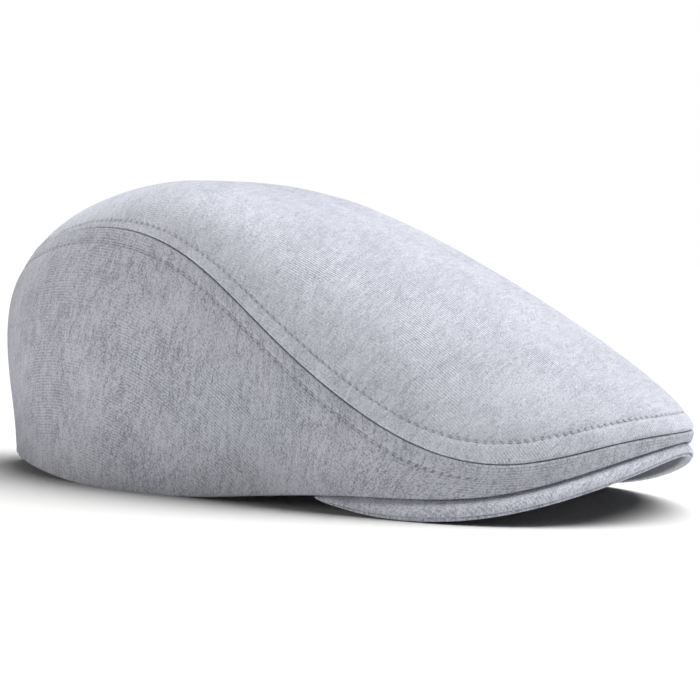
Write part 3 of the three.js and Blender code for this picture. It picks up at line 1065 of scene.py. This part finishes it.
def stage_material(name, colour):
    """Matt paper of a studio floor, with a faint grain"""
    material = bpy.data.materials.new(name)
    bench = NodeBench(material)
    grain = bench.noise(bench.add("ShaderNodeTexCoord").outputs["Object"], 900.0, 2.0)
    bench.cover(
        {
            "Base Color": (*colour, 1),
            "Roughness": 0.9,
            "Specular IOR Level": 0.1,
            "Normal": bench.bump(grain, 0.05, 0.1 * MM),
        }
    )
    return material


def studio_world(room):
    """A white room, whose walls give less light than they show"""
    world = bpy.data.worlds.new("studio")
    world.use_nodes = True
    tree = world.node_tree
    tree.nodes.clear()
    light = add_node(tree, "ShaderNodeBackground", {"Color": (1, 1, 1, 1), "Strength": room})
    seen = add_node(tree, "ShaderNodeBackground", {"Color": (1, 1, 1, 1)})
    path = add_node(tree, "ShaderNodeLightPath").outputs["Is Camera Ray"]
    either = add_node(tree, "ShaderNodeMixShader", {0: path, 1: light, 2: seen})
    add_node(tree, "ShaderNodeOutputWorld", {"Surface": either})
    return world


def add_lamp(context, light, place, back):
    """Hang a light, which shines away from the direction back"""
    lamp = add_object(context, light.name, light)
    lamp.location = place
    lamp.rotation_euler = Vector(back).to_track_quat("Z", "Y").to_euler()


def overhead_light(context, stage):
    light = bpy.data.lights.new("overhead", "SUN")
    light.energy, light.angle = stage.sun, stage.spread
    add_lamp(context, light, (0, 0, 1), OVERHEAD)


def side_light(context, stage):
    light = bpy.data.lights.new("side", "AREA")
    light.shape, light.size = "DISK", BESIDE_SIZE
    light.energy, light.color = stage.fill, WARM
    add_lamp(context, light, BESIDE, Vector(BESIDE) - Vector(LIT))


class CAP_OT_stage(bpy.types.Operator):
    """Lay the pale floor, hang the soft lights and set up the camera"""

    bl_idname = "flat_cap.stage"
    bl_label = "Stage"

    def execute(self, context):
        stage = context.scene.cap_stage
        scene = context.scene
        reach = FLOOR_REACH
        mesh = bpy.data.meshes.new("floor")
        mesh.from_pydata(
            [(-reach, -reach, 0), (reach, -reach, 0), (reach, reach, 0), (-reach, reach, 0)],
            [],
            [(0, 1, 2, 3)],
        )
        mesh.materials.append(stage_material("floor_paper", stage.floor))
        floor = add_object(context, "floor", mesh)
        overhead_light(context, stage)
        side_light(context, stage)
        scene.world = studio_world(stage.room)
        scene.view_settings.view_transform = "Standard"
        eye = bpy.data.cameras.new("camera")
        eye.sensor_width = 36
        eye.lens = stage.lens
        eye.clip_start, eye.clip_end = 0.05, 30
        camera = add_object(context, "camera", eye)
        level = math.cos(stage.elevation)
        back = Vector(
            (
                -math.sin(stage.azimuth) * level,
                -math.cos(stage.azimuth) * level,
                math.sin(stage.elevation),
            )
        )
        right = (-back).cross(Vector((0, 0, 1))).normalized()
        up = back.cross(right)
        turned_right = right * math.cos(stage.roll) + up * math.sin(stage.roll)
        turned_up = up * math.cos(stage.roll) - right * math.sin(stage.roll)
        place = Matrix((turned_right, turned_up, back)).transposed().to_4x4()
        place.translation = Vector((0, stage.aim_y, stage.aim_z)) + back * stage.distance
        camera.matrix_world = place
        scene.camera = camera
        return {"FINISHED"}


OPERATORS = (
    CAP_OT_stage,
    CAP_OT_top_panel,
    CAP_OT_side_panels,
    CAP_OT_peak,
    CAP_OT_stitches,
)


class CAP_PT_sidebar(bpy.types.Panel):
    """Lists the pieces of the cap"""

    bl_idname = "CAP_PT_sidebar"
    bl_label = "Flat cap"
    bl_space_type = "VIEW_3D"
    bl_region_type = "UI"
    bl_category = "Flat cap"

    def draw(self, context):
        for operator in OPERATORS:
            self.layout.operator(operator.bl_idname)
        for name in SETTINGS:
            group = getattr(context.scene, name)
            box = self.layout.box()
            for key in group.bl_rna.properties.keys():
                if key not in ("rna_type", "name"):
                    box.prop(group, key)


SETTINGS = {
    "cap_crown": CrownSizes,
    "cap_peak": PeakSizes,
    "cap_sewing": SewingSizes,
    "cap_jersey": JerseyLook,
    "cap_stage": StageLook,
}
CLASSES = (*SETTINGS.values(), *OPERATORS, CAP_PT_sidebar)


def register():
    for cls in CLASSES:
        bpy.utils.register_class(cls)
    for name, group in SETTINGS.items():
        setattr(bpy.types.Scene, name, PointerProperty(type=group))


def unregister():
    for name in SETTINGS:
        delattr(bpy.types.Scene, name)
    for cls in reversed(CLASSES):
        bpy.utils.unregister_class(cls)


def main():
    register()
    bpy.ops.flat_cap.stage()
    bpy.ops.flat_cap.top_panel()
    bpy.ops.flat_cap.side_panels()
    bpy.ops.flat_cap.peak()
    bpy.ops.flat_cap.stitches()


if __name__ == "__main__":
    main()
